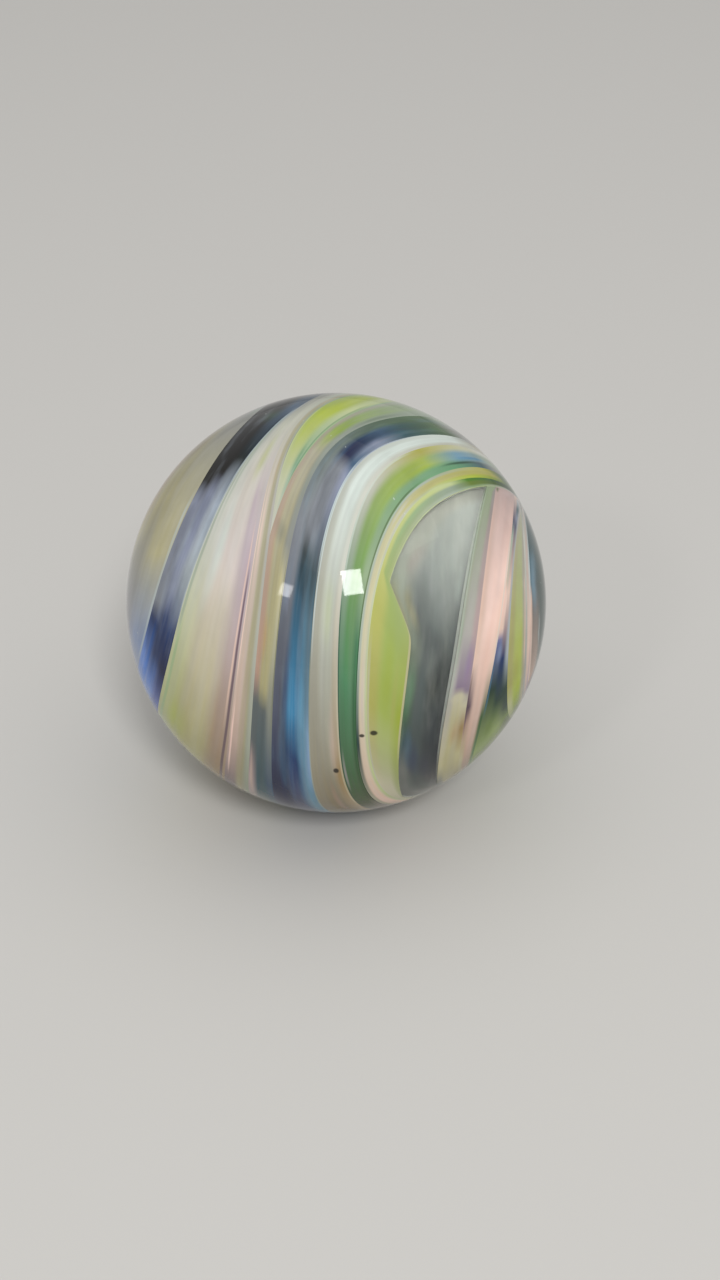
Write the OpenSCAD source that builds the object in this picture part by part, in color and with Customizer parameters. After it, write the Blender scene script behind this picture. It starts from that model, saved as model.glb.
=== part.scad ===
// Swirl marble: a clear glass ball with a smoky core, and bands of coloured glass fused into its surface.
// The origin is the centre of the ball. The face of the swirl looks toward -Y and is tipped up.
// Every border between two glasses is one edge: a ring round the ball that is wound about a slanted axis.

/* [Marble] */
// Diameter of the marble
marble_d = 25; // [16:0.5:50]
// Depth of the coloured glass below the surface
ribbon_depth = 0.5; // [0.3:0.1:0.8]
// Depth of the smoky core below the surface
core_depth = 1.1; // [1:0.1:4]

/* [Swirl] */
// Angle that the face of the swirl is tipped up from level
face_tip = 33; // [0:1:60]
// Turn of the ribbons for each radius along the winding axis, in degrees
wind = 25; // [0:1:30]
// Extra turn toward both ends of that axis, in degrees
end_wind = 29; // [0:1:30]

/* [Smoothness] */
// Straight steps round each edge
edge_steps = 48; // [40:4:72]
// Facets round the ball
ball_facets = 96; // [72:12:120]

/* [Hidden] */

ball_r = marble_d / 2;

// A cutter runs from inside the core to well outside the ball, so that only the skin is cut by its side.
cutter_tip = 0.15 * ball_r;
cutter_root = 0.5 * ball_r;
cutter_reach = 2.4 * ball_r;
cutter_block = 3 * marble_d;

// Edges, as [bearing, rise, offset] before the glass is wound: the direction that the ring faces, and the
// distance of its plane from the centre as a share of the radius. The name is that of the ribbon it begins.
tan_edge = [95, -50, -0.94];
slate_edge = [100, -35, -0.73];
cream_edge = [94, -35, -0.55];
salmon_edge = [81, -22, -0.24];
lemon_edge = [76, -19, -0.11];
olive_edge = [79, -27, -0.14];
blue_edge = [67, -21, 0.14];
white_edge = [61, -16, 0.37];
green_edge = [60, -12, 0.49];
lilac_edge = [60, -13, 0.58];
lime_edge = [58, -12, 0.64];
window_edge = [59, -13, 0.66];
sand_edge = [84, -8, 0.63];
apricot_edge = [86, -6, 0.68];
leaf_edge = [89, -8, 0.74];
stripe_edge = [82, -2, 0.86];
pink_edge = [90, 1, 0.86];
teal_edge = [91, 1, 0.88];
end_edge = [98, 0, 0.97];
// The two edges of the tongue that the lime ribbon puts out across the window
tongue_top_edge = [110, 37, -0.1];
tongue_side_edge = [77, -9, 0.54];

// The axis that the glass is wound about, as [bearing, rise]
winding_heading = [-70, 13.5];
winding_axis = heading(winding_heading[0], winding_heading[1]);

// Below this offset an edge is cut from its far side
far_side_offset = -0.3;
half_turn = 180;

// Unit vector with this bearing from -Y toward +X and this rise above level
function heading(bearing, rise) = [
  cos(rise) * sin(bearing),
  -cos(rise) * cos(bearing),
  sin(rise)
];

function turned(v, axis, angle) =
  let (along = (v * axis) * axis)
  along + cos(angle) * (v - along) + sin(angle) * cross(axis, v);

function wound(v) =
  let (height = v * winding_axis)
  turned(v, winding_axis, wind * height + end_wind * height * height);

function placed(v) = turned(wound(v), [1, 0, 0], -face_tip);

function middle(edge) = placed(heading(edge[0], edge[1]));

// The edge's points on a ball of radius 1
function ring(edge) =
  let (
    facing = heading(edge[0], edge[1]),
    level = cross([0, 0, 1], facing) / norm(cross([0, 0, 1], facing)),
    upright = cross(facing, level),
    ring_r = sqrt(1 - edge[2] * edge[2])
  )
  [
    for (i = [0 : edge_steps - 1])
      let (angle = 360 * i / edge_steps)
      placed(edge[2] * facing + ring_r * (cos(angle) * level + sin(angle) * upright))
  ];

// The same ring, seen from the other side
function reversed(edge) = [edge[0] + half_turn, -edge[1], -edge[2]];

// Closed solid that an edge sweeps outward from the core, capped at both ends
module cutter(edge) {
  rim = ring(edge);
  tip = middle(edge);
  n = edge_steps;
  polyhedron(
    points = concat(
      [cutter_tip * tip, cutter_reach * tip],
      [for (p = rim) cutter_root * p],
      [for (p = rim) cutter_reach * p]
    ),
    faces = concat(
      [for (i = [0 : n - 1]) [0, 2 + i, 2 + (i + 1) % n]],
      [for (i = [0 : n - 1]) [2 + i, 2 + n + i, 2 + n + (i + 1) % n, 2 + (i + 1) % n]],
      [for (i = [0 : n - 1]) [1, 2 + n + (i + 1) % n, 2 + n + i]]
    )
  );
}

// All the space on the side that an edge faces. A cutter is made on the edge's smaller side.
module beyond(edge) {
  if (edge[2] > far_side_offset) {
    cutter(edge);
  } else {
    difference() {
      cube(cutter_block, center = true);
      cutter(reversed(edge));
    }
  }
}

module ball() {
  sphere(r = ball_r, $fn = ball_facets);
}

// The veiled glass deep in the ball, seen through the clear panes
module core() {
  sphere(r = ball_r - core_depth, $fn = ball_facets);
}

// The outer layer that the coloured glasses share
module skin() {
  difference() {
    ball();
    sphere(r = ball_r - ribbon_depth, $fn = ball_facets);
  }
}

// Part of the skin beyond every edge of one list and short of every edge of the other
module ribbon(from, to) {
  difference() {
    intersection() {
      skin();
      intersection_for (edge = from) beyond(edge);
    }
    for (edge = to) beyond(edge);
  }
}

// The space beyond the window's edge, less the tongue of the lime ribbon
module window_space() {
  intersection() {
    beyond(window_edge);
    union() {
      beyond(tongue_top_edge);
      beyond(tongue_side_edge);
    }
  }
}

// The clear pane on the face, between the lime and sand ribbons
module window_pane() {
  difference() {
    window_space();
    beyond(sand_edge);
  }
}

// The clear pane at the end of the swirl, inside the teal ribbon
module end_pane() {
  intersection() {
    beyond(window_edge);
    beyond(end_edge);
  }
}

// The shallow channel round the ball that all the ribbons fill
module channel() {
  difference() {
    ribbon([tan_edge], []);
    window_pane();
    end_pane();
  }
}

module clear_glass() {
  color([0.62, 0.66, 0.66, 0.5])
    difference() {
      ball();
      channel();
      core();
    }
}

module smoky_core() {
  color([0.50, 0.53, 0.54]) core();
}

module tan_ribbon() {
  color([0.72, 0.63, 0.48]) ribbon([tan_edge], [slate_edge]);
}

module slate_ribbon() {
  color([0.33, 0.37, 0.47]) ribbon([slate_edge], [cream_edge]);
}

module cream_ribbon() {
  color([0.79, 0.77, 0.72]) ribbon([cream_edge], [salmon_edge]);
}

module salmon_ribbon() {
  color([0.80, 0.68, 0.61]) ribbon([salmon_edge], [lemon_edge]);
}

module lemon_ribbon() {
  color([0.67, 0.70, 0.36]) ribbon([lemon_edge], [olive_edge]);
}

module olive_ribbon() {
  color([0.60, 0.60, 0.47]) ribbon([lemon_edge, olive_edge], [blue_edge]);
}

module blue_ribbon() {
  color([0.20, 0.27, 0.42]) ribbon([blue_edge], [white_edge]);
}

module white_ribbon() {
  color([0.79, 0.83, 0.79]) ribbon([white_edge], [green_edge]);
}

module green_ribbon() {
  color([0.37, 0.56, 0.43]) ribbon([green_edge], [lilac_edge]);
}

module lilac_ribbon() {
  color([0.77, 0.75, 0.72]) ribbon([lilac_edge], [lime_edge]);
}

module lime_ribbon() {
  color([0.64, 0.69, 0.35])
    difference() {
      ribbon([lime_edge], []);
      window_space();
    }
}

module sand_ribbon() {
  color([0.73, 0.65, 0.55]) ribbon([window_edge, sand_edge], [apricot_edge]);
}

module apricot_ribbon() {
  color([0.89, 0.76, 0.69]) ribbon([window_edge, apricot_edge], [leaf_edge]);
}

module leaf_ribbon() {
  color([0.24, 0.38, 0.25]) ribbon([window_edge, leaf_edge], [stripe_edge, pink_edge]);
}

module lime_stripe() {
  color([0.60, 0.65, 0.29]) ribbon([window_edge, stripe_edge], [pink_edge]);
}

module pink_stripe() {
  color([0.87, 0.72, 0.66]) ribbon([window_edge, pink_edge], [teal_edge]);
}

module teal_ribbon() {
  color([0.48, 0.57, 0.55]) ribbon([window_edge, teal_edge], [end_edge]);
}

clear_glass();
smoky_core();
tan_ribbon();
slate_ribbon();
cream_ribbon();
salmon_ribbon();
lemon_ribbon();
olive_ribbon();
blue_ribbon();
white_ribbon();
green_ribbon();
lilac_ribbon();
lime_ribbon();
sand_ribbon();
apricot_ribbon();
leaf_ribbon();
lime_stripe();
pink_stripe();
teal_ribbon();
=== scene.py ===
import bpy
import numpy as np
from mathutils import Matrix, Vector


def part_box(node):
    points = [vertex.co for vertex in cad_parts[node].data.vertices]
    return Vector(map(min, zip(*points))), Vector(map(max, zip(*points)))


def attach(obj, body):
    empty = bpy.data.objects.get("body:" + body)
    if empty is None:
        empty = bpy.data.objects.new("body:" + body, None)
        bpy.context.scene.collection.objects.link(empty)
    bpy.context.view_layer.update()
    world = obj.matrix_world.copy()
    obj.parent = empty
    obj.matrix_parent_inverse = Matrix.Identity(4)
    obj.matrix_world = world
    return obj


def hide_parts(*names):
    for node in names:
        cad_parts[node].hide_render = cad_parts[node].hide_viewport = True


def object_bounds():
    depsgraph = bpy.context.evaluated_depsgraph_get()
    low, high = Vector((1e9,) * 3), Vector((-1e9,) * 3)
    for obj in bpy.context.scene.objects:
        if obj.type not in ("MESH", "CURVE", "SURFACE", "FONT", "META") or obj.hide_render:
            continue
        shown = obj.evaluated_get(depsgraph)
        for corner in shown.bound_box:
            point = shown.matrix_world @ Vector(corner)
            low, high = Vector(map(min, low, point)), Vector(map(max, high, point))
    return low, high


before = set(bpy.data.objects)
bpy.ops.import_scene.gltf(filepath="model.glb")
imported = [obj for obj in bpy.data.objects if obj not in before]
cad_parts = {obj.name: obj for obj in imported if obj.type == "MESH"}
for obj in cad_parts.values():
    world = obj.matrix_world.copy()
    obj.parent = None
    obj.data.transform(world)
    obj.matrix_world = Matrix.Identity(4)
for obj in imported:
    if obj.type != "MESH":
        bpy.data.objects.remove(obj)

# Swirl marble: bands of coloured glass laid round a clear ball, then wound about a slanted axis.
# Lengths are in metres and angles in degrees. The origin is the centre of the ball.

mm = 0.001
cadLow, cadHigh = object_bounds()

marble = {
    "radius": (cadHigh.z - cadLow.z) / 2,
    "ribbonDepth": 0.5 * mm,
    "faceTip": 33,  # the face of the swirl looks up by this much
    "windingHeading": (-70, 13.5),
    "wind": 25,
    "endWind": 29,
    "waver": 0.0035,  # as a share of the radius
    "waverScale": 3.0,
    "turnSteps": 480,  # steps round a whole ribbon
    "taperSteps": 60,  # more steps for a ribbon that runs out at both ends
    "taperBunching": 0.85,  # how closely its steps crowd toward those ends
    "leastWidth": 0.0006,  # width of those ends, in radians seen from the centre
    "spanSteps": 14400,  # steps in the search for those ends
    "acrossSteps": 18,  # steps across a ribbon's face
    "wallSteps": 2,
    "underSteps": 6,
    "poleGap": 0.002,  # a ball's grid stops this far short of its poles, in radians
}

# Borders between two glasses, as (bearing, rise, offset) before winding, as in the solid model
edges = {
    "tan": (95, -50, -0.94),
    "slate": (100, -35, -0.73),
    "cream": (94, -35, -0.55),
    "salmon": (81, -22, -0.24),
    "lemon": (76, -19, -0.11),
    "olive": (79, -27, -0.14),
    "blue": (67, -21, 0.14),
    "white": (61, -16, 0.37),
    "green": (60, -12, 0.49),
    "lilac": (60, -13, 0.58),
    "lime": (58, -12, 0.64),
    "window": (59, -13, 0.66),
    "sand": (84, -8, 0.63),
    "apricot": (86, -6, 0.68),
    "leaf": (89, -8, 0.74),
    "stripe": (82, -2, 0.86),
    "pink": (90, 1, 0.86),
    "teal": (91, 1, 0.88),
    "end": (98, 0, 0.97),
    "tongueTop": (110, 37, -0.1),
    "tongueSide": (77, -9, 0.54),
}

# The ribbons are drawn in two polar frames: one for the wide rings, one for the short bands at the right
ringPole = (85, -40)
endPole = (88, -2)

# Colours of the glass rods, in sRGB
rods = {
    "snow": "DCE1DA", "milk": "C6CFC8", "frost": "BECBCB", "chalk": "C3C4BA", "shell": "C9C0BA",
    "pearl": "B6B7A9", "bone": "BFBA9F", "dove": "ABA8A2", "mistBlue": "A2AAAE", "mistGreen": "A5B0A2",
    "stone": "A09C88", "ash": "83857F", "smoke": "787C82", "pewter": "5C6262", "graphite": "40484A",
    "fogGreen": "92A08E", "butter": "B1B583", "straw": "AAA66C", "hay": "A5A356", "lemon": "AAB944",
    "lime": "98A636", "chartreuse": "9CAC54", "paleLime": "BAC493", "apple": "869A56", "sage": "7E9668",
    "paleSage": "92B086", "celery": "8EA480", "mint": "7E9E80", "fern": "689672", "jade": "507E5C",
    "moss": "657A38", "forest": "3C5A36", "grass": "4E7A30", "darkOlive": "454E32", "pine": "1E3A2C",
    "bottle": "24403E", "blackGreen": "121A16", "tealGlass": "38565E", "slate": "3C5268", "navy": "22345E",
    "ink": "181F42", "night": "101C2A", "cobalt": "3E56A0", "dusk": "67709A", "cornflower": "5C86D2",
    "haze": "8494B4", "steel": "4A7EA0", "mistSteel": "7296AA", "lavender": "848A9C",
    "mistLavender": "9AA3AE", "darkLavender": "5A5C70", "lilac": "B6A8AE", "mauve": "84709A",
    "heather": "87788A", "rose": "AC9896", "salmon": "C1AA9D", "duskSalmon": "AC8F7D", "peach": "E1C3B2",
    "blush": "ECCBBE", "caramel": "B08C62", "tan": "97805A", "khaki": "A09A76", "sand": "B6B08C",
    "bark": "7A6B4E", "plum": "5C4A56", "charcoal": "1E1D1C",
}


# Unit vector with a bearing from -Y toward +X and a rise above level:
# (cos rise x sin bearing, -cos rise x cos bearing, sin rise)
def heading(bearing, rise):
    bearingAngle, riseAngle = np.radians(bearing), np.radians(rise)
    level = np.cos(riseAngle)
    return np.array([level * np.sin(bearingAngle), -level * np.cos(bearingAngle), np.sin(riseAngle)])


# Points turned about an axis, by an angle for each point: the part along the axis stays, and the rest
# becomes cos x rest + sin x (axis cross point)
def turnedAbout(points, axis, angle):
    along = (points @ axis)[..., None] * axis
    cosine = np.cos(angle)[..., None]
    sine = np.sin(angle)[..., None]
    return along + cosine * (points - along) + sine * np.cross(axis, points)


# Hot glass wavers a little: a point on the ball is moved by waver x slow sines of its place, then put
# back on the ball by dividing by its length
def wavered(points):
    x, y, z = (points[..., k] * marble["waverScale"] for k in range(3))
    slide = np.stack(
        [
            np.sin(1.7 * y + 0.8 * z) + 0.6 * np.sin(3.1 * z - 1.9 * x),
            np.sin(1.3 * z + 1.1 * x) + 0.6 * np.sin(2.7 * x + 2.3 * y),
            np.sin(1.9 * x - 0.7 * y) + 0.6 * np.sin(3.3 * y - 1.2 * z),
        ],
        -1,
    )
    moved = points + marble["waver"] * slide
    return moved / np.linalg.norm(moved, axis=-1, keepdims=True)


# Winding turns each point by wind x height + endWind x height squared; the face is then tipped up
def wound(points):
    axis = heading(*marble["windingHeading"])
    height = points @ axis
    twist = np.radians(marble["wind"] * height + marble["endWind"] * height**2)
    tip = np.full(height.shape, np.radians(-marble["faceTip"]))
    return turnedAbout(turnedAbout(wavered(points), axis, twist), np.array([1.0, 0.0, 0.0]), tip)


# The pole's own axis, a level side across it (up cross axis, made unit length) and a top (axis cross side)
def poleAxes(pole):
    axis = heading(*pole)
    side = np.cross([0.0, 0.0, 1.0], axis)
    side /= np.linalg.norm(side)
    return axis, side, np.cross(axis, side)


# Angle from the pole at which an edge crosses each meridian. A point at reach r on the meridian lies on
# the edge's plane where alongAxis cos r + alongMeridian sin r = offset
def rim(edge, pole, turn):
    bearing, rise, offset = edges[edge]
    facing = heading(bearing, rise)
    axis, side, top = poleAxes(pole)
    alongAxis = axis @ facing
    alongMeridian = np.cos(turn) * (side @ facing) + np.sin(turn) * (top @ facing)
    share = np.clip(offset / np.hypot(alongAxis, alongMeridian), -1, 1)
    return np.arctan2(alongMeridian, alongAxis) + np.arccos(share)


# Points at a turn round the pole and a reach from it, before winding, on a ball of radius 1:
# cos reach x axis + sin reach x (cos turn x side + sin turn x top)
def polar(pole, turn, reach):
    axis, side, top = poleAxes(pole)
    outward = np.cos(turn)[..., None] * side + np.sin(turn)[..., None] * top
    return np.cos(reach)[..., None] * axis + np.sin(reach)[..., None] * outward


# Quads of a grid, by their points (i, j), (i, j + 1), (i + 1, j + 1), (i + 1, j). Rows and columns are
# counted round, so that the last can meet the first
def gridQuads(rows, columns, rowSpans, columnSpans):
    i, j = np.meshgrid(np.arange(rowSpans), np.arange(columnSpans), indexing="ij")
    nextI, nextJ = (i + 1) % rows, (j + 1) % columns
    quads = np.stack([i * columns + j, i * columns + nextJ, nextI * columns + nextJ, nextI * columns + j], -1)
    return quads.reshape(-1, 4)


# -1 where quads have to be listed backward, because they face the ball's centre: there the sum of
# (diagonal cross diagonal) . (sum of the corners) is below 0
def facesOrder(points, quads):
    a, b, c, d = (points[quads[:, k]] for k in range(4))
    return -1 if (np.cross(c - a, d - b) * (a + b + c + d)).sum() < 0 else 1


# One smooth mesh. Its UV map, the lay, is (across, turn / 360), and in a quad over the seam a turn below one
# half is carried on by 1. Its strand is the place in mm on the ribbon before winding
def linkedMesh(name, points, faces, quadCount, lay, strand, closedTurn):
    mesh = bpy.data.meshes.new(name)
    mesh.from_pydata(points.tolist(), [], faces)
    mesh.update(calc_edges=True)
    corners = np.empty(len(mesh.loops), int)
    mesh.loops.foreach_get("vertex_index", corners)
    cornerLay = lay[corners]
    if closedTurn:
        quadTurn = cornerLay[: 4 * quadCount, 1].reshape(-1, 4)
        wraps = np.ptp(quadTurn, axis=1) > 0.5
        quadTurn[wraps] += quadTurn[wraps] < 0.5
        cornerLay[: 4 * quadCount, 1] = quadTurn.reshape(-1)
    mesh.uv_layers.new(name="lay").uv.foreach_set("vector", cornerLay.astype(np.float32).ravel())
    strands = mesh.attributes.new("strand", "FLOAT_VECTOR", "POINT")
    strands.data.foreach_set("vector", strand.astype(np.float32).ravel())
    mesh.polygons.foreach_set("use_smooth", np.ones(len(mesh.polygons), bool))
    mesh.update()
    made = bpy.data.objects.new(name, mesh)
    bpy.context.scene.collection.objects.link(made)
    return made


# One number for each point of a mesh, kept as a named attribute
def setPointValues(piece, name, values):
    held = piece.data.attributes.new(name, "FLOAT", "POINT")
    held.data.foreach_set("value", values.astype(np.float32).ravel())


# A closed tube from a grid of points. Its columns close round the section. Its rows close round the ball,
# or a flat face closes each end. Edges along the sharp columns and round the ends stay crisp
def gridMesh(name, points, lay, strand, closedTurn, sharpColumns):
    rows, columns = points.shape[:2]
    quads = gridQuads(rows, columns, rows if closedTurn else rows - 1, columns)
    flat = points.reshape(-1, 3)
    order = facesOrder(flat, quads)
    faces = quads[:, ::order].tolist()
    if not closedTurn:
        first = list(range(columns))
        last = [(rows - 1) * columns + k for k in range(columns)]
        faces += [first[::-order], last[::order]]
    made = linkedMesh(name, flat, faces, len(quads), lay.reshape(-1, 2), strand, closedTurn)

    mesh = made.data
    ends = np.empty(2 * len(mesh.edges), int)
    mesh.edges.foreach_get("vertices", ends)
    row, column = np.divmod(ends.reshape(-1, 2), columns)
    sharp = (column[:, 0] == column[:, 1]) & np.isin(column[:, 0], sharpColumns)
    if not closedTurn:
        sharp |= (row[:, 0] == row[:, 1]) & np.isin(row[:, 0], [0, rows - 1])
    mesh.edges.foreach_set("use_edge_sharp", sharp)
    mesh.update()
    return made


# Turns between which outer edge - inner edge is above 0, or None where it is so all the way round
def widthSpan(pole, innerEdge, outerEdge):
    turn = np.radians(np.linspace(0, 360, marble["spanSteps"] + 1))
    width = outerEdge(pole, turn) - innerEdge(pole, turn)
    if width.min() > 0:
        return None
    middle = turn[np.argmax(width)]
    gaps = turn[width <= 0]
    return gaps[gaps < middle].max(), gaps[gaps > middle].min()


# A ribbon is a bar bent round the ball. Its section goes over the face, down one wall, back underneath and up
# the other wall, with reach = outer + (inner - outer) x across and radius = ball's radius - ribbon's depth
# x depth. Where it runs out, turn = start + length x (t - bunching x sin(360 t) / 2 pi)
def ribbonMesh(name, pole, innerEdge, outerEdge):
    span = widthSpan(pole, innerEdge, outerEdge)
    if span is None:
        turn = np.linspace(0, 2 * np.pi, marble["turnSteps"], endpoint=False)
    else:
        length = span[1] - span[0]
        t = np.linspace(0, 1, int(marble["turnSteps"] * length / (2 * np.pi)) + marble["taperSteps"])
        turn = span[0] + length * (t - marble["taperBunching"] * np.sin(2 * np.pi * t) / (2 * np.pi))
    inner = innerEdge(pole, turn)
    outer = np.maximum(outerEdge(pole, turn), inner + marble["leastWidth"])

    face, wall, under = marble["acrossSteps"], marble["wallSteps"], marble["underSteps"]
    faceSteps, wallSteps, underSteps = (np.arange(count) / count for count in (face, wall, under))
    across = np.concatenate([faceSteps, np.ones(wall), 1 - underSteps, np.zeros(wall)])
    depth = np.concatenate([np.zeros(face), wallSteps, np.ones(under), 1 - wallSteps])
    reach = outer[:, None] + (inner - outer)[:, None] * across
    turns = np.repeat(turn[:, None], len(across), 1)
    radius = marble["radius"] - marble["ribbonDepth"] * depth
    points = wound(polar(pole, turns, reach)) * radius[None, :, None]

    lay = np.stack([np.broadcast_to(across, reach.shape), turns / (2 * np.pi)], -1)
    radiusMm = marble["radius"] / mm
    widthMm = np.median(outer - inner) * radiusMm
    strand = np.stack([radiusMm * np.cos(turns), radiusMm * np.sin(turns), widthMm * lay[..., 0]], -1)
    corners = [0, face, face + wall, face + wall + under]
    made = gridMesh(name, points, lay, strand, span is None, corners)
    setPointValues(made, "depth", np.broadcast_to(depth, reach.shape))
    return made


# sRGB to linear light: value / 12.92 for the darkest, else ((value + 0.055) / 1.055) to the power 2.4
def linear(hexColour):
    values = np.array([int(hexColour[k : k + 2], 16) for k in (0, 2, 4)]) / 255
    low = values / 12.92
    high = ((values + 0.055) / 1.055) ** 2.4
    return tuple(np.where(values <= 0.04045, low, high)) + (1.0,)


# Colour of a glass rod, by its name
def rod(name):
    return linear(rods[name])


# A node with some of its inputs linked, where the value is a socket, or else set
def addNode(tree, kind, inputs=None, **settings):
    made = tree.nodes.new(kind)
    for key, value in settings.items():
        setattr(made, key, value)
    for key, value in (inputs or {}).items():
        if isinstance(value, bpy.types.NodeSocket):
            tree.links.new(value, made.inputs[key])
        else:
            made.inputs[key].default_value = value
    return made


# One sum on numbers or sockets, such as first x second + third for MULTIPLY_ADD
def calc(tree, operation, *values):
    return addNode(tree, "ShaderNodeMath", dict(enumerate(values)), operation=operation).outputs[0]


# A value that goes from least to most between two limits, as t squared x (3 - 2 t)
def rising(tree, value, low, high, least=0.0, most=1.0):
    inputs = {0: value, 1: low, 2: high, 3: least, 4: most}
    return addNode(tree, "ShaderNodeMapRange", inputs, interpolation_type="SMOOTHSTEP").outputs[0]


# Two colours mixed: first x (1 - share) + second x share
def mixed(tree, share, first, second):
    return addNode(tree, "ShaderNodeMix", {0: share, 6: first, 7: second}, data_type="RGBA").outputs[2]


# Noise of the place x scale, where a larger scale gives finer noise along that direction
def noise(tree, vector, scale, detail=2.0):
    place = addNode(tree, "ShaderNodeMapping", {0: vector, 3: scale}).outputs[0]
    inputs = {"Vector": place, "Scale": 1.0, "Detail": detail}
    return addNode(tree, "ShaderNodeTexNoise", inputs).outputs[0]


# Colour along the ribbon: straight mixes between stops of {turn: rod}. Turns 0 and 360 share the mix of the
# last and first stops
def laneColour(tree, turn, stops):
    made = addNode(tree, "ShaderNodeValToRGB", {0: turn})
    elements = made.color_ramp.elements
    places = [turnDegrees / 360 for turnDegrees in stops]
    colours = [np.array(rod(rodName)) for rodName in stops.values()]
    gap = places[0] + 1 - places[-1]
    seam = colours[-1] + (colours[0] - colours[-1]) * (1 - places[-1]) / gap
    for place in places:
        elements.new(place)
    for element, place, colour in zip(elements, [0.0, *places, 1.0], [seam, *colours, seam]):
        element.position = place
        element.color = colour
    return made.outputs[0]


# A soft oval: its strength falls to 0 where the distance from its middle, counted in half-widths, goes from
# 1 - softness to 1
def oval(tree, place, across, turn, halfAcross, halfTurn, strength, softness=1.0):
    middle = (across, turn / 360, 0)
    size = (1 / halfAcross, 360 / halfTurn, 0)
    offset = addNode(tree, "ShaderNodeVectorMath", {0: place, 1: middle}, operation="SUBTRACT").outputs[0]
    scaled = addNode(tree, "ShaderNodeVectorMath", {0: offset, 1: size}, operation="MULTIPLY").outputs[0]
    away = addNode(tree, "ShaderNodeVectorMath", {0: scaled}, operation="LENGTH").outputs["Value"]
    return rising(tree, away, 1 - softness, 1.0, strength, 0.0)


# Finish of all the ribbons, which a ribbon's own dictionary may change. Noise scales are per mm of the
# strand: two in the plane of the ring, then one across the ribbon
ribbonFinish = {
    "wanderScale": (0.13, 0.13, 0.4),
    "wander": 0.25,  # how far the lanes' borders wander, as a share of the width
    "driftScale": (0.2, 0.2, 0.7),
    "drift": 0.035,  # how far the stops drift along the ribbon, as a share of a turn
    "lineWander": 0.06,
    "lineCore": 0.3,  # share of a line's half-width that has its full strength
    "lineEnd": 6,  # degrees over which a line begins and ends, to either side
    "swirlScale": (0.3, 0.1, 0.3),
    "wispScale": (0.16, 0.16, 0.9),
    "wispLimits": (0.48, 0.72),
    "speckEdge": (0.9, 0.5),  # strength and softness
    "paintedWallLight": 0.75,  # painted light: share of snow mixed into the walls and the underside to lift their shade
    "bubbleScale": 1.1,
    "bubbleSize": (0.04, 0.09),
    "bubbleStrength": 0.5,
    "bubbleChance": 0.1,
    "threadScale": (0.05, 0.05, 2.2),
    "threads": (0.945, 1.045),
    "cloudScale": (0.3, 0.3, 0.8),
    "clouds": (0.95, 1.05),
    "richScale": (0.1, 0.1, 2.1),
    "rich": (0.92, 1.12),
    "smearScale": (0.4, 0.4, 0.4),
    "smears": (0.02, 0.07),
    "swellScale": (0.5, 0.5, 0.5),
    "bumpStrength": 0.12,
    "bumpDistance": 0.02 * mm,
    "ior": 1.45,
    "specular": 0.25,
}
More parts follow.
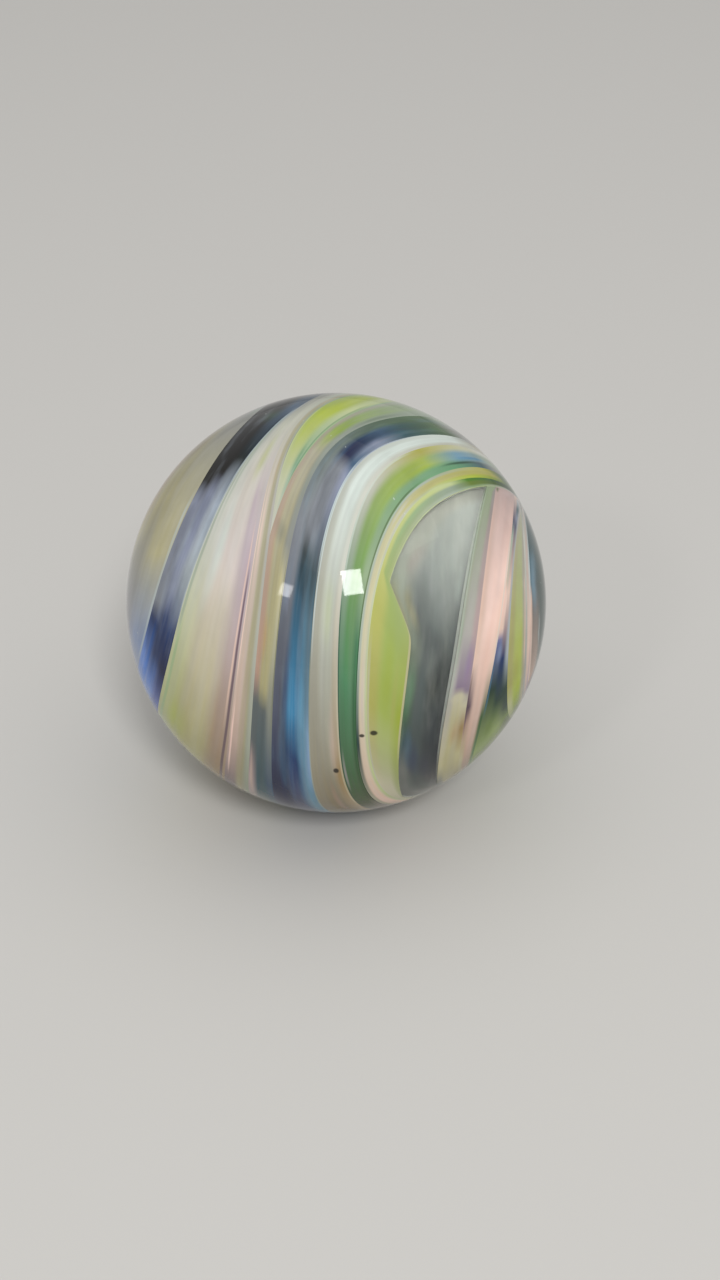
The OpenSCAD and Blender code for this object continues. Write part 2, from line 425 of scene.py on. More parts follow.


# Glass drawn out along the ribbon. Its colour is mixed step by step: three lanes side by side, then strokes,
# lines, the end cap, wisps, specks, walls made pale as painted light against their shade, and bubbles.
# Brightness = threads x clouds, by noise
def ribbonGlass(name, ownLook):
    look = {**ribbonFinish, **ownLook}
    material = bpy.data.materials.new(name)
    material.use_nodes = True
    tree = material.node_tree
    shader = tree.nodes["Principled BSDF"]
    strand = addNode(tree, "ShaderNodeAttribute", attribute_name="strand").outputs["Vector"]
    lay = addNode(tree, "ShaderNodeUVMap", uv_map="lay").outputs[0]
    layAcross, layTurn = addNode(tree, "ShaderNodeSeparateXYZ", {0: lay}).outputs[:2]

    wander = calc(tree, "SUBTRACT", noise(tree, strand, look["wanderScale"]), 0.5)
    drift = calc(tree, "SUBTRACT", noise(tree, strand, look["driftScale"]), 0.5)
    across = calc(tree, "MULTIPLY_ADD", wander, look["wander"], layAcross)
    turn = calc(tree, "MULTIPLY_ADD", drift, look["drift"], layTurn)
    turn = calc(tree, "FRACT", turn)

    lanes = look["lanes"]
    colour = laneColour(tree, turn, lanes[0])
    for stops, (low, high) in zip(lanes[1:], look["borders"]):
        colour = mixed(tree, rising(tree, across, low, high), colour, laneColour(tree, turn, stops))

    # strokes: rod, across, turn, half-width, half-length, strength, and its softness where that isn't 1
    place = addNode(tree, "ShaderNodeCombineXYZ", {0: across, 1: turn}).outputs[0]
    for rodName, *shape in look.get("strokes", []):
        colour = mixed(tree, oval(tree, place, *shape), colour, rod(rodName))

    # lines: rod, across, half-width, turn where it begins, turn where it ends, strength
    for rodName, lineAcross, halfAcross, fromTurn, toTurn, strength in look.get("lines", []):
        shift = calc(tree, "MULTIPLY_ADD", wander, look["lineWander"], layAcross)
        away = calc(tree, "ABSOLUTE", calc(tree, "SUBTRACT", shift, lineAcross))
        line = rising(tree, away, look["lineCore"] * halfAcross, halfAcross, strength, 0.0)
        begun, ended = (
            rising(tree, turn, (each - look["lineEnd"]) / 360, (each + look["lineEnd"]) / 360)
            for each in (fromTurn, toTurn)
        )
        share = calc(tree, "MULTIPLY", line, calc(tree, "SUBTRACT", begun, ended))
        colour = mixed(tree, share, colour, rod(rodName))

    # the cap of smoke at the end of the swirl, which only the veil has
    if "cap" in look:
        pale, middle, dark = (rod(each) for each in look["cap"])
        swirl = noise(tree, strand, look["swirlScale"], 3.0)
        capColour = mixed(tree, rising(tree, swirl, 0.3, 0.48), dark, middle)
        capColour = mixed(tree, rising(tree, swirl, 0.48, 0.64), capColour, pale)
        capShare = addNode(tree, "ShaderNodeAttribute", attribute_name="cap").outputs["Fac"]
        colour = mixed(tree, capShare, colour, capColour)

    if "wisps" in look:
        rodName, strength = look["wisps"]
        streaks = noise(tree, strand, look["wispScale"], 4.0)
        wisps = rising(tree, streaks, *look["wispLimits"], 0.0, strength)
        colour = mixed(tree, wisps, colour, rod(rodName))

    # specks: across, turn, half-width, half-length, degrees of turn that it leans by over the whole width
    for speckAcross, speckTurn, halfAcross, halfTurn, lean in look.get("specks", []):
        leaned = calc(tree, "MULTIPLY_ADD", layAcross, -lean / 360, layTurn)
        spot = addNode(tree, "ShaderNodeCombineXYZ", {0: layAcross, 1: leaned}).outputs[0]
        shape = (speckAcross, speckTurn - lean * speckAcross, halfAcross, halfTurn, *look["speckEdge"])
        colour = mixed(tree, oval(tree, spot, *shape), colour, rod("charcoal"))

    # painted light: the walls and the underside are mixed toward snow, so the shade they lie in reads paler
    depth = addNode(tree, "ShaderNodeAttribute", attribute_name="depth").outputs["Fac"]
    colour = mixed(tree, rising(tree, depth, 0.0, 0.5, 0.0, look["paintedWallLight"]), colour, rod("snow"))

    bubbles = addNode(tree, "ShaderNodeTexVoronoi", {"Vector": strand, "Scale": look["bubbleScale"]})
    chance = addNode(tree, "ShaderNodeSeparateXYZ", {0: bubbles.outputs["Color"]}).outputs[0]
    dot = rising(tree, bubbles.outputs["Distance"], *look["bubbleSize"], look["bubbleStrength"], 0.0)
    dot = calc(tree, "MULTIPLY", dot, calc(tree, "GREATER_THAN", chance, 1 - look["bubbleChance"]))
    colour = mixed(tree, dot, colour, rod("milk"))

    threads = noise(tree, strand, look["threadScale"], 3.0)
    clouds = noise(tree, strand, look["cloudScale"], 3.0)
    threadLevel = rising(tree, threads, 0.3, 0.7, *look["threads"])
    cloudLevel = rising(tree, clouds, 0.3, 0.7, *look["clouds"])
    level = calc(tree, "MULTIPLY", threadLevel, cloudLevel)
    richness = rising(tree, noise(tree, strand, look["richScale"]), 0.3, 0.7, *look["rich"])
    finishInputs = {"Saturation": richness, "Value": level, "Color": colour}
    finish = addNode(tree, "ShaderNodeHueSaturation", finishInputs).outputs[0]
    tree.links.new(finish, shader.inputs["Base Color"])

    smears = rising(tree, noise(tree, strand, look["smearScale"], 4.0), 0.35, 0.75, *look["smears"])
    tree.links.new(smears, shader.inputs["Roughness"])
    swell = noise(tree, strand, look["swellScale"])
    bumpInputs = {"Strength": look["bumpStrength"], "Distance": look["bumpDistance"], "Height": swell}
    tree.links.new(addNode(tree, "ShaderNodeBump", bumpInputs).outputs[0], shader.inputs["Normal"])
    shader.inputs["IOR"].default_value = look["ior"]
    shader.inputs["Specular IOR Level"].default_value = look["specular"]
    return material


# Borders as functions of the pole and the turn: one edge's reach, or the least or greatest of several
def edgeOf(name):
    return lambda pole, turn: rim(name, pole, turn)


def nearer(*names):
    return lambda pole, turn: np.minimum.reduce([rim(name, pole, turn) for name in names])


def farther(*names):
    return lambda pole, turn: np.maximum.reduce([rim(name, pole, turn) for name in names])


# Roundings of the corners where the tongue's two edges meet, and where the tongue meets the window's ring
tongue = {"tipRounding": 0.05, "rootRounding": 0.012}


# The window's border is the nearer of its ring and the lime ribbon's tongue, and the tongue is the farther of
# its two edges, with rounded corners: (a + b -+ root of ((a - b) squared + rounding squared)) / 2
def windowEdge(pole, turn):
    top, side = rim("tongueTop", pole, turn), rim("tongueSide", pole, turn)
    tongueEdge = (top + side + np.hypot(top - side, tongue["tipRounding"])) / 2
    ring = rim("window", pole, turn)
    return (ring + tongueEdge - np.hypot(ring - tongueEdge, tongue["rootRounding"])) / 2


# One ribbon in place of its node, between two edges. The node tan_ribbon gives the piece tanRibbon
def layRibbon(node, pole, innerEdge, outerEdge, look):
    colourName, kind = node.split("_")
    name = colourName + kind.capitalize()
    made = ribbonMesh(name, pole, innerEdge, outerEdge)
    made.data.materials.append(ribbonGlass(name + "Glass", look))
    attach(made, "root")
    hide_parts(node)
    print("ribbon laid:", name, len(made.data.polygons), "faces")


tanRibbon = {
    "lanes": [
        {100: "pewter", 186: "tan", 210: "sand", 266: "haze", 345: "bark"},
        {105: "pewter", 198: "khaki", 266: "lavender", 310: "navy", 350: "khaki"},
        {105: "pewter", 136: "smoke", 222: "sand", 254: "haze", 350: "stone"},
    ],
    "borders": [(0.3, 0.55), (0.6, 0.85)],
    "strokes": [("bark", 0.55, 166, 0.2, 16, 0.6), ("mint", 0.9, 142, 0.1, 12, 0.4)],
    "lines": [("frost", 0.985, 0.02, 200, 262, 0.5)],
}
layRibbon("tan_ribbon", ringPole, edgeOf("slate"), edgeOf("tan"), tanRibbon)

slateRibbon = {
    "lanes": [
        {95: "night", 193: "charcoal", 201: "lavender", 235: "smoke", 241: "navy", 258: "cornflower",
         350: "tealGlass"},
        {100: "night", 188: "charcoal", 196: "lavender", 230: "lavender", 238: "navy", 251: "navy",
         264: "cornflower", 345: "steel"},
        {100: "night", 142: "slate", 179: "blackGreen", 198: "mistLavender", 222: "mistBlue", 240: "navy",
         252: "ink", 266: "cobalt", 345: "slate"},
    ],
    "borders": [(0.2, 0.5), (0.55, 0.85)],
    "drift": 0.015,
    "wisps": ("mistLavender", 0.2),
    "clouds": (0.82, 1.12),
    "strokes": [
        ("jade", 0.6, 152, 0.3, 9, 0.18),
        ("mistLavender", 0.35, 212, 0.16, 14, 0.5),
        ("cornflower", 0.05, 260, 0.16, 12, 0.8, 0.9),
    ],
    "lines": [("frost", 0.985, 0.025, 146, 232, 0.6), ("night", 0.93, 0.02, 150, 182, 0.7)],
}
layRibbon("slate_ribbon", ringPole, edgeOf("cream"), edgeOf("slate"), slateRibbon)

creamRibbon = {
    "lanes": [
        {100: "pewter", 206: "chalk", 255: "butter", 340: "fogGreen"},
        {100: "pewter", 160: "pearl", 208: "shell", 268: "straw", 345: "stone"},
        {100: "ash", 150: "pearl", 206: "lilac", 266: "tan", 340: "bone"},
    ],
    "borders": [(0.08, 0.4), (0.6, 0.85)],
    "strokes": [
        ("lilac", 0.8, 194, 0.08, 16, 0.7, 0.9),
        ("butter", 0.55, 174, 0.2, 14, 0.6),
        ("milk", 0.3, 208, 0.16, 26, 0.7),
        ("lemon", 0.25, 262, 0.25, 12, 0.4),
        ("mistBlue", 0.12, 148, 0.1, 20, 0.6),
        ("fogGreen", 0.08, 178, 0.05, 34, 0.6, 0.9),
    ],
    "threads": (0.97, 1.03),
    "lines": [
        ("plum", 0.955, 0.026, 208, 275, 0.8),
        ("peach", 0.915, 0.02, 198, 240, 0.6),
        ("fogGreen", 0.03, 0.03, 150, 236, 0.7),
        ("paleSage", 0.06, 0.03, 236, 275, 0.6),
    ],
}
layRibbon("cream_ribbon", ringPole, edgeOf("salmon"), edgeOf("cream"), creamRibbon)

salmonRibbon = {
    "lanes": [
        {100: "fogGreen", 148: "pearl", 242: "salmon", 264: "plum", 345: "stone"},
        {100: "stone", 345: "khaki"},
        {100: "sage", 190: "dove", 340: "sage"},
    ],
    "borders": [(0.3, 0.55), (0.65, 0.9)],
    "strokes": [
        ("blush", 0.22, 198, 0.14, 20, 0.35),
        ("blush", 0.1, 244, 0.06, 14, 0.9, 0.8),
        ("duskSalmon", 0.5, 178, 0.12, 10, 0.35),
        ("rose", 0.55, 236, 0.2, 22, 0.5),
    ],
    "lines": [("blush", 0.05, 0.04, 186, 226, 0.6), ("pewter", 0.96, 0.03, 150, 172, 0.5)],
}
layRibbon("salmon_ribbon", ringPole, edgeOf("lemon"), edgeOf("salmon"), salmonRibbon)

lemonRibbon = {
    "lanes": [
        {60: "sage", 140: "chartreuse", 192: "pearl"},
        {60: "moss", 144: "lemon", 192: "pearl"},
        {60: "sage", 132: "paleLime", 172: "mint", 192: "pearl"},
    ],
    "borders": [(0.05, 0.3), (0.5, 0.85)],
    "strokes": [("lemon", 0.44, 130, 0.22, 22, 0.85), ("jade", 0.78, 166, 0.12, 12, 0.35)],
    "lines": [("jade", 0.96, 0.05, 124, 178, 0.5), ("paleLime", 0.03, 0.03, 140, 180, 0.5)],
}
layRibbon("lemon_ribbon", ringPole, edgeOf("olive"), edgeOf("lemon"), lemonRibbon)

oliveRibbon = {
    "lanes": [
        {95: "fogGreen", 220: "duskSalmon", 227: "pewter", 236: "pewter", 248: "rose", 345: "fogGreen"},
        {95: "fogGreen", 146: "apple", 162: "stone", 223: "khaki", 228: "pewter", 252: "tealGlass",
         264: "ash", 345: "sage"},
        {95: "fogGreen", 191: "ash", 200: "sand", 246: "slate", 345: "moss"},
    ],
    "borders": [(0.1, 0.35), (0.6, 0.85)],
    "drift": 0.02,
    "strokes": [
        ("forest", 0.86, 128, 0.14, 18, 0.35),
        ("chartreuse", 0.45, 148, 0.25, 14, 0.35),
        ("salmon", 0.08, 248, 0.08, 12, 0.8, 0.9),
        ("caramel", 0.3, 213, 0.25, 7, 0.5),
        ("pewter", 0.4, 191, 0.5, 4, 0.35),
    ],
    "lines": [("paleSage", 0.03, 0.04, 104, 170, 0.7), ("darkOlive", 0.97, 0.03, 196, 226, 0.6)],
}
layRibbon("olive_ribbon", ringPole, edgeOf("blue"), nearer("lemon", "olive"), oliveRibbon)

blueRibbon = {
    "lanes": [
        {98: "fogGreen", 108: "forest", 186: "smoke", 246: "ink", 262: "darkLavender", 340: "slate"},
        {98: "ash", 108: "forest", 134: "slate", 153: "ink", 160: "smoke", 182: "smoke", 188: "graphite",
         219: "steel", 230: "navy", 262: "darkLavender", 340: "tealGlass"},
        {98: "ash", 108: "forest", 128: "tealGlass", 140: "lavender", 154: "slate", 160: "lavender",
         188: "graphite", 224: "mistSteel", 345: "bottle"},
    ],
    "borders": [(0.2, 0.45), (0.6, 0.9)],
    "drift": 0.02,
    "wisps": ("mistSteel", 0.18),
    "clouds": (0.85, 1.12),
    "strokes": [
        ("ink", 0.5, 148, 0.3, 10, 0.7),
        ("blackGreen", 0.6, 192, 0.45, 7, 0.4),
        ("lavender", 0.1, 201, 0.12, 4, 0.4),
        ("navy", 0.28, 216, 0.12, 13, 0.6),
        ("mistSteel", 0.72, 221, 0.16, 15, 0.5),
        ("ink", 0.3, 240, 0.22, 20, 0.8),
        ("mistSteel", 0.88, 232, 0.08, 22, 0.6, 0.9),
        ("haze", 0.92, 225, 0.12, 16, 0.6),
    ],
    "lines": [("frost", 0.98, 0.03, 152, 186, 0.7), ("khaki", 0.985, 0.03, 204, 246, 0.6)],
}
layRibbon("blue_ribbon", ringPole, edgeOf("white"), edgeOf("blue"), blueRibbon)

whiteRibbon = {
    "lanes": [
        {96: "ash", 108: "milk", 262: "bark", 345: "chalk"},
        {96: "stone", 108: "milk", 162: "milk", 242: "bark", 345: "pearl"},
        {96: "pearl", 176: "chalk", 222: "tan", 345: "milk"},
    ],
    "borders": [(0.15, 0.4), (0.65, 0.95)],
    "drift": 0.02,
    "strokes": [
        ("paleLime", 0.5, 191, 0.3, 9, 0.4),
        ("salmon", 0.75, 214, 0.2, 12, 0.45),
        ("duskSalmon", 0.55, 236, 0.14, 14, 0.5),
    ],
    "lines": [
        ("haze", 0.025, 0.03, 126, 160, 0.6),
        ("frost", 0.03, 0.03, 160, 200, 0.7),
        ("bone", 0.97, 0.04, 200, 236, 0.6),
    ],
    "specks": [(0.78, 220.5, 0.12, 0.9, -7.9)],
}
layRibbon("white_ribbon", ringPole, edgeOf("green"), edgeOf("white"), whiteRibbon)

greenRibbon = {
    "lanes": [
        {98: "chalk", 128: "hay", 154: "pearl", 198: "jade", 236: "darkOlive", 250: "ash", 345: "moss"},
        {98: "fogGreen", 115: "mistSteel", 130: "chartreuse", 198: "jade", 234: "darkOlive", 254: "rose",
         345: "pine"},
        {98: "ash", 108: "tealGlass", 120: "fern", 176: "celery", 188: "jade", 230: "darkOlive",
         250: "rose", 300: "pine", 345: "tealGlass"},
    ],
    "borders": [(0.12, 0.4), (0.6, 0.85)],
    "drift": 0.02,
    "strokes": [
        ("steel", 0.6, 109, 0.12, 9, 0.7, 0.9),
        ("pine", 0.8, 116, 0.08, 12, 0.8, 0.9),
        ("apple", 0.55, 138, 0.25, 12, 0.4),
        ("pine", 0.85, 206, 0.14, 26, 0.4),
        ("lilac", 0.12, 219, 0.1, 8, 0.5),
    ],
    "lines": [
        ("darkOlive", 0.965, 0.04, 140, 186, 0.6),
        ("bottle", 0.03, 0.04, 186, 232, 0.6),
        ("blackGreen", 0.97, 0.03, 186, 236, 0.6),
        ("milk", 0.03, 0.05, 134, 182, 0.5),
    ],
}
layRibbon("green_ribbon", ringPole, edgeOf("lilac"), edgeOf("green"), greenRibbon)

lilacRibbon = {
    # the peach at turn 232 is the lower end's salmon tint, painted paler as painted light to lift the shade
    # that falls there
    "lanes": [
        {98: "forest", 108: "hay", 136: "mistGreen", 190: "mistGreen", 206: "bottle", 226: "stone",
         345: "moss"},
        {98: "forest", 106: "hay", 188: "bone", 232: "peach", 345: "lemon"},
        {98: "forest", 116: "lemon", 150: "pearl", 218: "paleLime", 300: "lilac", 345: "hay"},
    ],
    "borders": [(0.1, 0.3), (0.6, 0.9)],
    "strokes": [
        ("lilac", 0.5, 196, 0.25, 10, 0.4),
        ("chalk", 0.4, 152, 0.2, 10, 0.5),
    ],
    "lines": [("fogGreen", 0.03, 0.06, 126, 150, 0.5), ("paleLime", 0.96, 0.06, 130, 200, 0.6)],
    "specks": [(0.45, 203.9, 0.32, 0.5, -3)],
}
layRibbon("lilac_ribbon", ringPole, edgeOf("lime"), edgeOf("lilac"), lilacRibbon)

limeRibbon = {
    "lanes": [
        {98: "pine", 121: "grass", 128: "paleLime", 196: "hay", 217: "bone", 345: "moss"},
        {98: "pine", 121: "moss", 129: "fogGreen", 194: "chartreuse", 218: "bone", 345: "grass"},
        {98: "dove", 120: "sage", 130: "mistGreen", 192: "lime", 246: "dove", 345: "moss"},
    ],
    "borders": [(0.15, 0.4), (0.6, 0.9)],
    "strokes": [
        ("lime", 0.5, 188, 0.25, 14, 0.45),
        ("hay", 0.7, 190, 0.1, 12, 0.5),
        ("paleSage", 0.4, 150, 0.3, 16, 0.4),
    ],
    "lines": [
        ("sand", 0.97, 0.045, 168, 200, 0.9),
        ("paleLime", 0.97, 0.04, 112, 168, 0.85),
        ("pearl", 0.03, 0.05, 186, 232, 0.5),
    ],
    "specks": [(0.21, 200, 0.16, 0.75, -8.3)],
}
layRibbon("lime_ribbon", ringPole, windowEdge, edgeOf("lime"), limeRibbon)

sandRibbon = {
    "lanes": [
        {100: "sage", 198: "dove", 232: "sand", 250: "pewter", 280: "khaki"},
        {100: "sage", 182: "dove", 200: "heather", 203: "bone", 211: "sand", 280: "khaki"},
        {100: "ash", 183: "rose", 201: "heather", 206: "bone", 216: "tan", 230: "sand", 280: "bark"},
    ],
    "borders": [(0.1, 0.35), (0.55, 0.85)],
    "wander": 0.15,
    "drift": 0.01,
    "strokes": [
        ("mauve", 0.75, 192, 0.3, 9, 0.45),
        ("bone", 0.5, 203.5, 0.6, 2.2, 0.8, 0.8),
        ("caramel", 0.55, 217, 0.3, 8, 0.5),
        ("mint", 0.08, 184, 0.12, 12, 0.4),
    ],
    "lines": [("mistGreen", 0.05, 0.07, 128, 204, 0.6)],
}
layRibbon("sand_ribbon", endPole, edgeOf("apricot"), nearer("sand", "window"), sandRibbon)

apricotRibbon = {
    "lanes": [
        {100: "rose", 192: "peach", 208: "plum", 216: "duskSalmon", 236: "sand", 280: "bark"},
        {100: "rose", 178: "blush", 280: "bark"},
        {100: "rose", 160: "blush", 192: "peach", 216: "forest", 280: "sage"},
    ],
    "borders": [(0.1, 0.35), (0.65, 0.9)],
    "wander": 0.15,
    "drift": 0.015,
    "strokes": [("blush", 0.45, 166, 0.35, 22, 0.6), ("forest", 0.06, 121, 0.1, 3, 0.8)],
    "lines": [("chalk", 0.96, 0.05, 140, 192, 0.5), ("plum", 0.04, 0.06, 198, 218, 0.7)],
}
layRibbon("apricot_ribbon", endPole, edgeOf("leaf"), nearer("apricot", "window"), apricotRibbon)

leafRibbon = {
    "lanes": [
        {100: "peach", 130: "darkLavender", 141: "mistGreen", 182: "peach", 186: "dusk", 206: "pine",
         240: "apple", 280: "darkOlive"},
        {100: "rose", 110: "mistBlue", 118: "tealGlass", 126: "lavender", 132: "darkLavender", 166: "peach",
         194: "navy", 214: "pine", 234: "apple", 280: "moss"},
        {100: "dove", 192: "mistBlue", 210: "pine", 224: "pine", 233: "moss", 250: "darkOlive",
         280: "sage"},
    ],
    "borders": [(0.25, 0.5), (0.6, 0.9)],
    "wander": 0.15,
    "drift": 0.012,
    "strokes": [
        ("blush", 0.12, 171, 0.4, 11, 0.9, 0.6),
        ("haze", 0.3, 191, 0.3, 6, 0.55),
        ("moss", 0.3, 226, 0.2, 10, 0.6),
    ],
    "lines": [("steel", 0.05, 0.06, 196, 214, 0.5), ("pine", 0.95, 0.06, 206, 230, 0.5)],
}
layRibbon("leaf_ribbon", endPole, farther("stripe", "pink"), nearer("leaf", "window"), leafRibbon)

limeStripe = {
    "lanes": [
        {100: "dove", 212: "hay", 226: "butter", 260: "moss"},
        {100: "dove", 214: "lemon", 260: "forest"},
        {100: "dove", 260: "khaki"},
    ],
    "borders": [(0.15, 0.4), (0.65, 0.9)],
    "strokes": [("hay", 0.4, 204, 0.3, 16, 0.6)],
    "lines": [("blush", 0.95, 0.06, 156, 204, 0.4)],
}
layRibbon("lime_stripe", endPole, edgeOf("pink"), nearer("stripe", "window"), limeStripe)

pinkStripe = {
    "lanes": [
        {100: "pewter", 132: "chalk", 260: "ash"},
        {100: "dove", 206: "peach", 260: "ash"},
        {100: "pewter", 150: "frost", 180: "peach", 260: "mauve"},
    ],
    "borders": [(0.15, 0.45), (0.6, 0.9)],
    "strokes": [("peach", 0.7, 200, 0.2, 22, 0.6)],
}
layRibbon("pink_stripe", endPole, edgeOf("teal"), nearer("pink", "window"), pinkStripe)

tealRibbon = {
    "lanes": [
        {100: "bottle", 146: "tealGlass", 230: "duskSalmon", 244: "plum", 270: "bottle", 330: "pewter"},
        {100: "bottle", 240: "bottle", 330: "steel"},
        {100: "night", 330: "slate"},
    ],
    "borders": [(0.15, 0.4), (0.6, 0.9)],
    "strokes": [("mistSteel", 0.12, 156, 0.16, 30, 0.7), ("frost", 0.3, 196, 0.06, 22, 0.4)],
    "lines": [("peach", 0.01, 0.05, 162, 232, 0.8)],
}
layRibbon("teal_ribbon", endPole, edgeOf("end"), nearer("teal", "window"), tealRibbon)

veil = {
    "turnSteps": 320,
    "reachSteps": 200,
    "ripple": 0.08 * mm,
    "leastLaneWidth": 0.2,
    "capReach": (0.42, 0.62),
    "cap": ("mistBlue", "fern", "slate"),
    # the snow stops at turn 124 are pale smoke made paler still as painted light, to lift the shade the
    # ribbons cast on the window's top
    "lanes": [
        {100: "chalk", 148: "chalk", 209: "forest", 220: "tealGlass", 232: "ash", 300: "tealGlass",
         345: "chalk"},
        {100: "chalk", 124: "snow", 185: "pewter", 258: "bottle", 345: "fogGreen"},
        {100: "mistBlue", 124: "snow", 194: "graphite", 244: "night", 345: "pewter"},
    ],
    "borders": [(0.15, 0.45), (0.5, 0.8)],
    "wander": 0.3,
    "drift": 0.03,
    "wisps": ("chalk", 0.2),
    "threads": (0.97, 1.03),
    "clouds": (0.88, 1.08),
    "strokes": [
        ("milk", 1.0, 166, 0.14, 11, 0.5),
        ("khaki", 0.3, 180, 0.14, 8, 0.6),
        ("rose", 0.25, 166, 0.16, 10, 0.35),
        ("khaki", 0.1, 182, 0.14, 9, 0.6),
        ("blackGreen", 0.82, 200, 0.34, 10, 0.75),
        ("fern", 0.2, 203, 0.2, 11, 0.6),
        ("steel", 0.3, 224, 0.14, 12, 0.35),
        ("moss", 0.1, 216, 0.1, 10, 0.5),
        ("ink", 0.7, 232, 0.25, 10, 0.6),
        ("navy", 0.42, 229, 0.22, 11, 0.7),
    ],
}


# Turns round the ball and reaches from pole to pole, as two grids
def turnsAndReaches(turnSteps, reachSteps):
    turn = np.linspace(0, 2 * np.pi, turnSteps, endpoint=False)
    reach = np.linspace(marble["poleGap"], np.pi - marble["poleGap"], reachSteps)
    return np.meshgrid(turn, reach, indexing="ij")


# The points of a grid as one list, and after them the mean of its first column and that of its last
def withPoles(grid):
    return np.concatenate([grid.reshape(-1, grid.shape[-1]), [grid[:, 0].mean(0), grid[:, -1].mean(0)]])


# A ball on a grid of turns and reaches, whose two poles are closed by fans of triangles
# (pole, this column's point, the next one's)
def closedBall(name, points, lay, strand):
    rows, columns = points.shape[:2]
    quads = gridQuads(rows, columns, rows, columns - 1)
    first = np.arange(rows) * columns
    last = first + columns - 1
    pole = np.full(rows, points[..., 0].size)
    fans = np.concatenate(
        [np.stack([pole, first, np.roll(first, -1)], -1), np.stack([pole + 1, np.roll(last, -1), last], -1)]
    )
    order = facesOrder(points.reshape(-1, 3), quads)
    faces = quads[:, ::order].tolist() + fans[:, ::order].tolist()
    return linkedMesh(name, withPoles(points), faces, len(quads), withPoles(lay), withPoles(strand), True)


# The veil is the core of the ball: radius = core's radius - ripple x (1 + sin(5 turn + 3 cos reach) x sin
# squared of reach) / 2. Its lanes run across the window, from its border to the sand ribbon, and fold back
# and forth beyond: share = (outer - reach) / (outer - inner), across = |(share + 1) mod 2 - 1|
def veilMesh(name):
    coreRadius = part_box("smoky_core")[1].z
    turns, reaches = turnsAndReaches(veil["turnSteps"], veil["reachSteps"])
    ripple = np.sin(5 * turns + 3 * np.cos(reaches)) * np.sin(reaches) ** 2
    radius = coreRadius - veil["ripple"] * (0.5 + 0.5 * ripple)
    points = wound(polar(endPole, turns, reaches)) * radius[..., None]
    outer, inner = windowEdge(endPole, turns), rim("sand", endPole, turns)
    share = (outer - reaches) / np.maximum(outer - inner, veil["leastLaneWidth"])
    folded = np.abs((share + 1) % 2 - 1)
    lay = np.stack([folded, turns / (2 * np.pi)], -1)
    radiusMm = marble["radius"] / mm
    ringRadius = radiusMm * np.sin(reaches)
    ringPlace = [ringRadius * np.cos(turns), ringRadius * np.sin(turns)]
    strand = np.stack([*ringPlace, radiusMm * np.cos(reaches)], -1)
    made = closedBall(name, points, lay, strand)
    capShare = np.clip((veil["capReach"][1] - reaches) / np.ptp(veil["capReach"]), 0, 1)
    setPointValues(made, "cap", np.append(capShare.ravel(), [1.0, 0.0]))
    return made


veilPiece = veilMesh("innerVeil")
veilPiece.data.materials.append(ribbonGlass("veilGlass", veil))
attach(veilPiece, "root")
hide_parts("smoky_core")
print("veil made:", len(veilPiece.data.polygons), "faces")

clearGlass = {
    "inset": 0.02 * mm,  # the ribbons' faces stand this much proud of the clear glass
    "turnSteps": 256,
    "reachSteps": 128,
    "tint": "F2F5F2",
    "smearScale": (300, 300, 300),
    "smears": (0.03, 0.06),
    "ior": 1.5,
}


# Clear glass, with roughness between the two smears by noise of the place. It casts no shadow on the veil
def clearGlassMaterial():
    material = bpy.data.materials.new("clearGlass")
    material.use_nodes = True
    tree = material.node_tree
    shader = tree.nodes["Principled BSDF"]
    shader.inputs["Base Color"].default_value = linear(clearGlass["tint"])
    shader.inputs["Transmission Weight"].default_value = 1.0
    shader.inputs["IOR"].default_value = clearGlass["ior"]
    objectPlace = addNode(tree, "ShaderNodeTexCoord").outputs["Object"]
    smears = noise(tree, objectPlace, clearGlass["smearScale"], 3.0)
    rough = rising(tree, smears, 0.4, 0.8, *clearGlass["smears"])
    tree.links.new(rough, shader.inputs["Roughness"])
    letThrough = addNode(tree, "ShaderNodeBsdfTransparent").outputs[0]
    shadowRay = addNode(tree, "ShaderNodeLightPath").outputs["Is Shadow Ray"]
    both = addNode(tree, "ShaderNodeMixShader", {0: shadowRay, 1: shader.outputs[0], 2: letThrough})
    tree.links.new(both.outputs[0], tree.nodes["Material Output"].inputs["Surface"])
    return material


# The clear ball is (cos turn sin reach, sin turn sin reach, cos reach) x (the marble's radius - the inset)
def clearBall(name):
    turns, reaches = turnsAndReaches(clearGlass["turnSteps"], clearGlass["reachSteps"])
    ringRadius = np.sin(reaches)
    outward = np.stack([np.cos(turns) * ringRadius, np.sin(turns) * ringRadius, np.cos(reaches)], -1)
    points = outward * (marble["radius"] - clearGlass["inset"])
    lay = np.stack([reaches / np.pi, turns / (2 * np.pi)], -1)
    return closedBall(name, points, lay, outward * marble["radius"] / mm)


ball = clearBall("clearBall")
ball.data.materials.append(clearGlassMaterial())
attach(ball, "root")
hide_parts("clear_glass")
print("clear glass made")

view = {
    "distance": 102 * mm,
    "rise": 33,
    "lens": 47.8,
    "aimRight": 1.39 * mm,
    "aimUp": -2.22 * mm,
}

riseAngle = np.radians(view["rise"])
viewRight = Vector((1, 0, 0))
viewUp = Vector((0, np.sin(riseAngle), np.cos(riseAngle)))
viewBack = Vector((0, -np.cos(riseAngle), np.sin(riseAngle)))

camera = bpy.data.objects.new("camera", bpy.data.cameras.new("camera"))
bpy.context.scene.collection.objects.link(camera)
camera.location = viewBack * view["distance"]
aim = viewRight * view["aimRight"] + viewUp * view["aimUp"]
camera.rotation_euler = (aim - camera.location).to_track_quat("-Z", "Y").to_euler()
camera.data.lens = view["lens"]
camera.data.sensor_width = 36
camera.data.sensor_fit = "AUTO"
camera.data.clip_start = 1 * mm
bpy.context.scene.camera = camera
bpy.context.scene.view_settings.view_transform = "Standard"

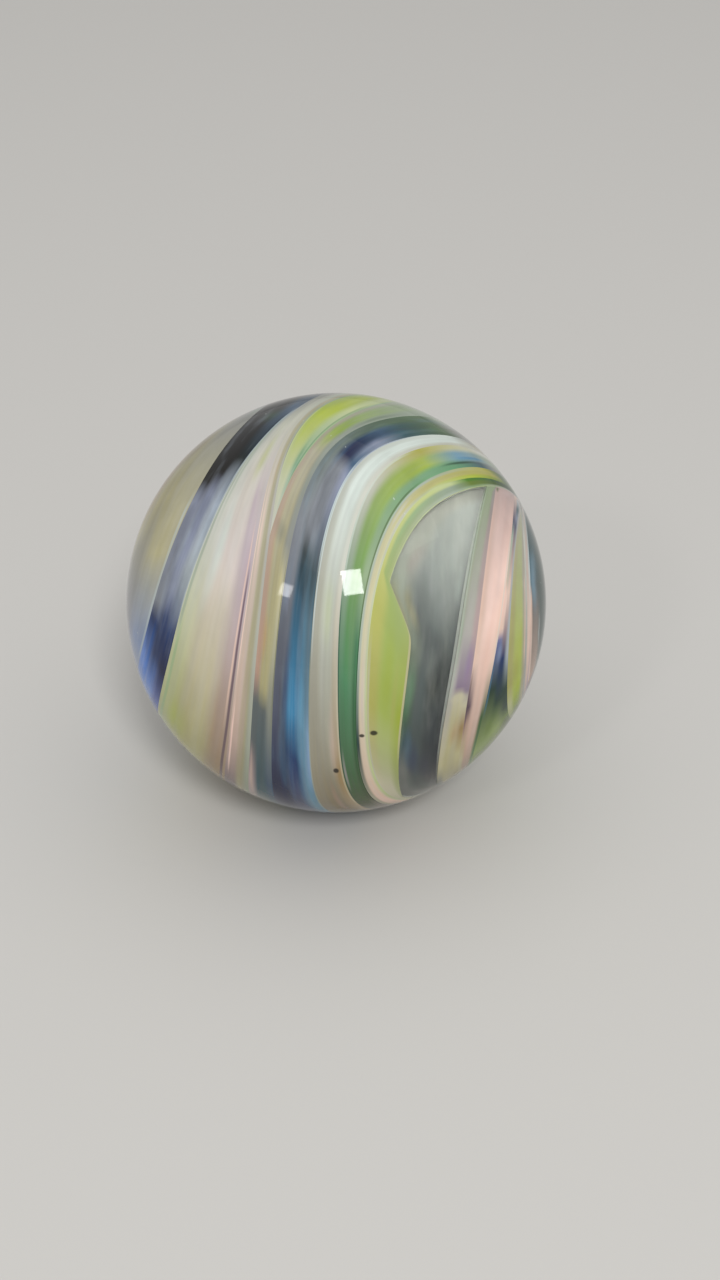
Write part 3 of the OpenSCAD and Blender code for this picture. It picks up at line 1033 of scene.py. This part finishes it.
studio = {
    "floorSize": 6.0,
    "floorColour": "C4C2BE",
    "floorRoughness": 0.9,
    "backdropColour": "C4C2BE",
    "ambient": 0.47,
    "overheadPower": 63,
    "overheadSize": (6.1, 6.1),
    "overheadPlace": (0.3, -0.3, 4.0),
    "glintPlace": (0.068, 0.088),  # where the lamp mirrors on the ball, as shares of its radius
    "glintDistance": 0.5,
    "glintSize": (0.092, 0.114),
    "glintPower": 1.25,
    "sparkPlace": (-0.214, 0.057),
    "sparkSize": (0.055, 0.055),
    "sparkPower": 0.18,
}

floorMesh = bpy.data.meshes.new("floor")
half = studio["floorSize"] / 2
floorZ = -marble["radius"]
floorCorners = [(-half, -half, floorZ), (half, -half, floorZ), (half, half, floorZ), (-half, half, floorZ)]
floorMesh.from_pydata(floorCorners, [], [(0, 1, 2, 3)])
floor = bpy.data.objects.new("floor", floorMesh)
bpy.context.scene.collection.objects.link(floor)
floorMaterial = bpy.data.materials.new("floorPaper")
floorMaterial.use_nodes = True
floorShader = floorMaterial.node_tree.nodes["Principled BSDF"]
floorShader.inputs["Base Color"].default_value = linear(studio["floorColour"])
floorShader.inputs["Roughness"].default_value = studio["floorRoughness"]
floorMesh.materials.append(floorMaterial)

world = bpy.data.worlds.new("studio")
bpy.context.scene.world = world
world.use_nodes = True
worldTree = world.node_tree
background = worldTree.nodes["Background"]
background.inputs["Color"].default_value = (1, 1, 1, 1)
background.inputs["Strength"].default_value = studio["ambient"]
backdrop = addNode(worldTree, "ShaderNodeBackground", {0: linear(studio["backdropColour"]), 1: 1.0})
rays = addNode(worldTree, "ShaderNodeLightPath")
seen = calc(worldTree, "MAXIMUM", rays.outputs["Is Camera Ray"], rays.outputs["Is Glossy Ray"])
seen = calc(worldTree, "MAXIMUM", seen, rays.outputs["Is Transmission Ray"])
both = addNode(worldTree, "ShaderNodeMixShader", {0: seen, 1: background.outputs[0], 2: backdrop.outputs[0]})
worldTree.links.new(both.outputs[0], worldTree.nodes["World Output"].inputs["Surface"])


# A rectangular lamp at a place, that looks toward a target along its own -Z
def addLamp(name, place, target, size, power):
    lampData = bpy.data.lights.new(name, "AREA")
    lampData.shape = "RECTANGLE"
    lampData.size, lampData.size_y = size
    lampData.energy = power
    lamp = bpy.data.objects.new(name, lampData)
    bpy.context.scene.collection.objects.link(lamp)
    lamp.location = place
    lamp.rotation_euler = (Vector(target) - Vector(place)).to_track_quat("-Z", "Y").to_euler()


# A lamp in front stands where the ball mirrors it at a chosen place: point + distance x mirrored, with
# mirrored = 2 (normal . toCamera) normal - toCamera
def addGlint(name, place, size, power):
    outward = np.sqrt(1 - place[0] ** 2 - place[1] ** 2)
    normal = viewRight * place[0] + viewUp * place[1] + viewBack * outward
    point = normal * marble["radius"]
    toCamera = (camera.location - point).normalized()
    mirrored = 2 * normal.dot(toCamera) * normal - toCamera
    addLamp(name, point + mirrored * studio["glintDistance"], point, size, power)


addGlint("frontLamp", studio["glintPlace"], studio["glintSize"], studio["glintPower"])
addGlint("sparkLamp", studio["sparkPlace"], studio["sparkSize"], studio["sparkPower"])
addLamp("overheadLamp", studio["overheadPlace"], (0, 0, 0), studio["overheadSize"], studio["overheadPower"])
print("camera, floor and lamps set")
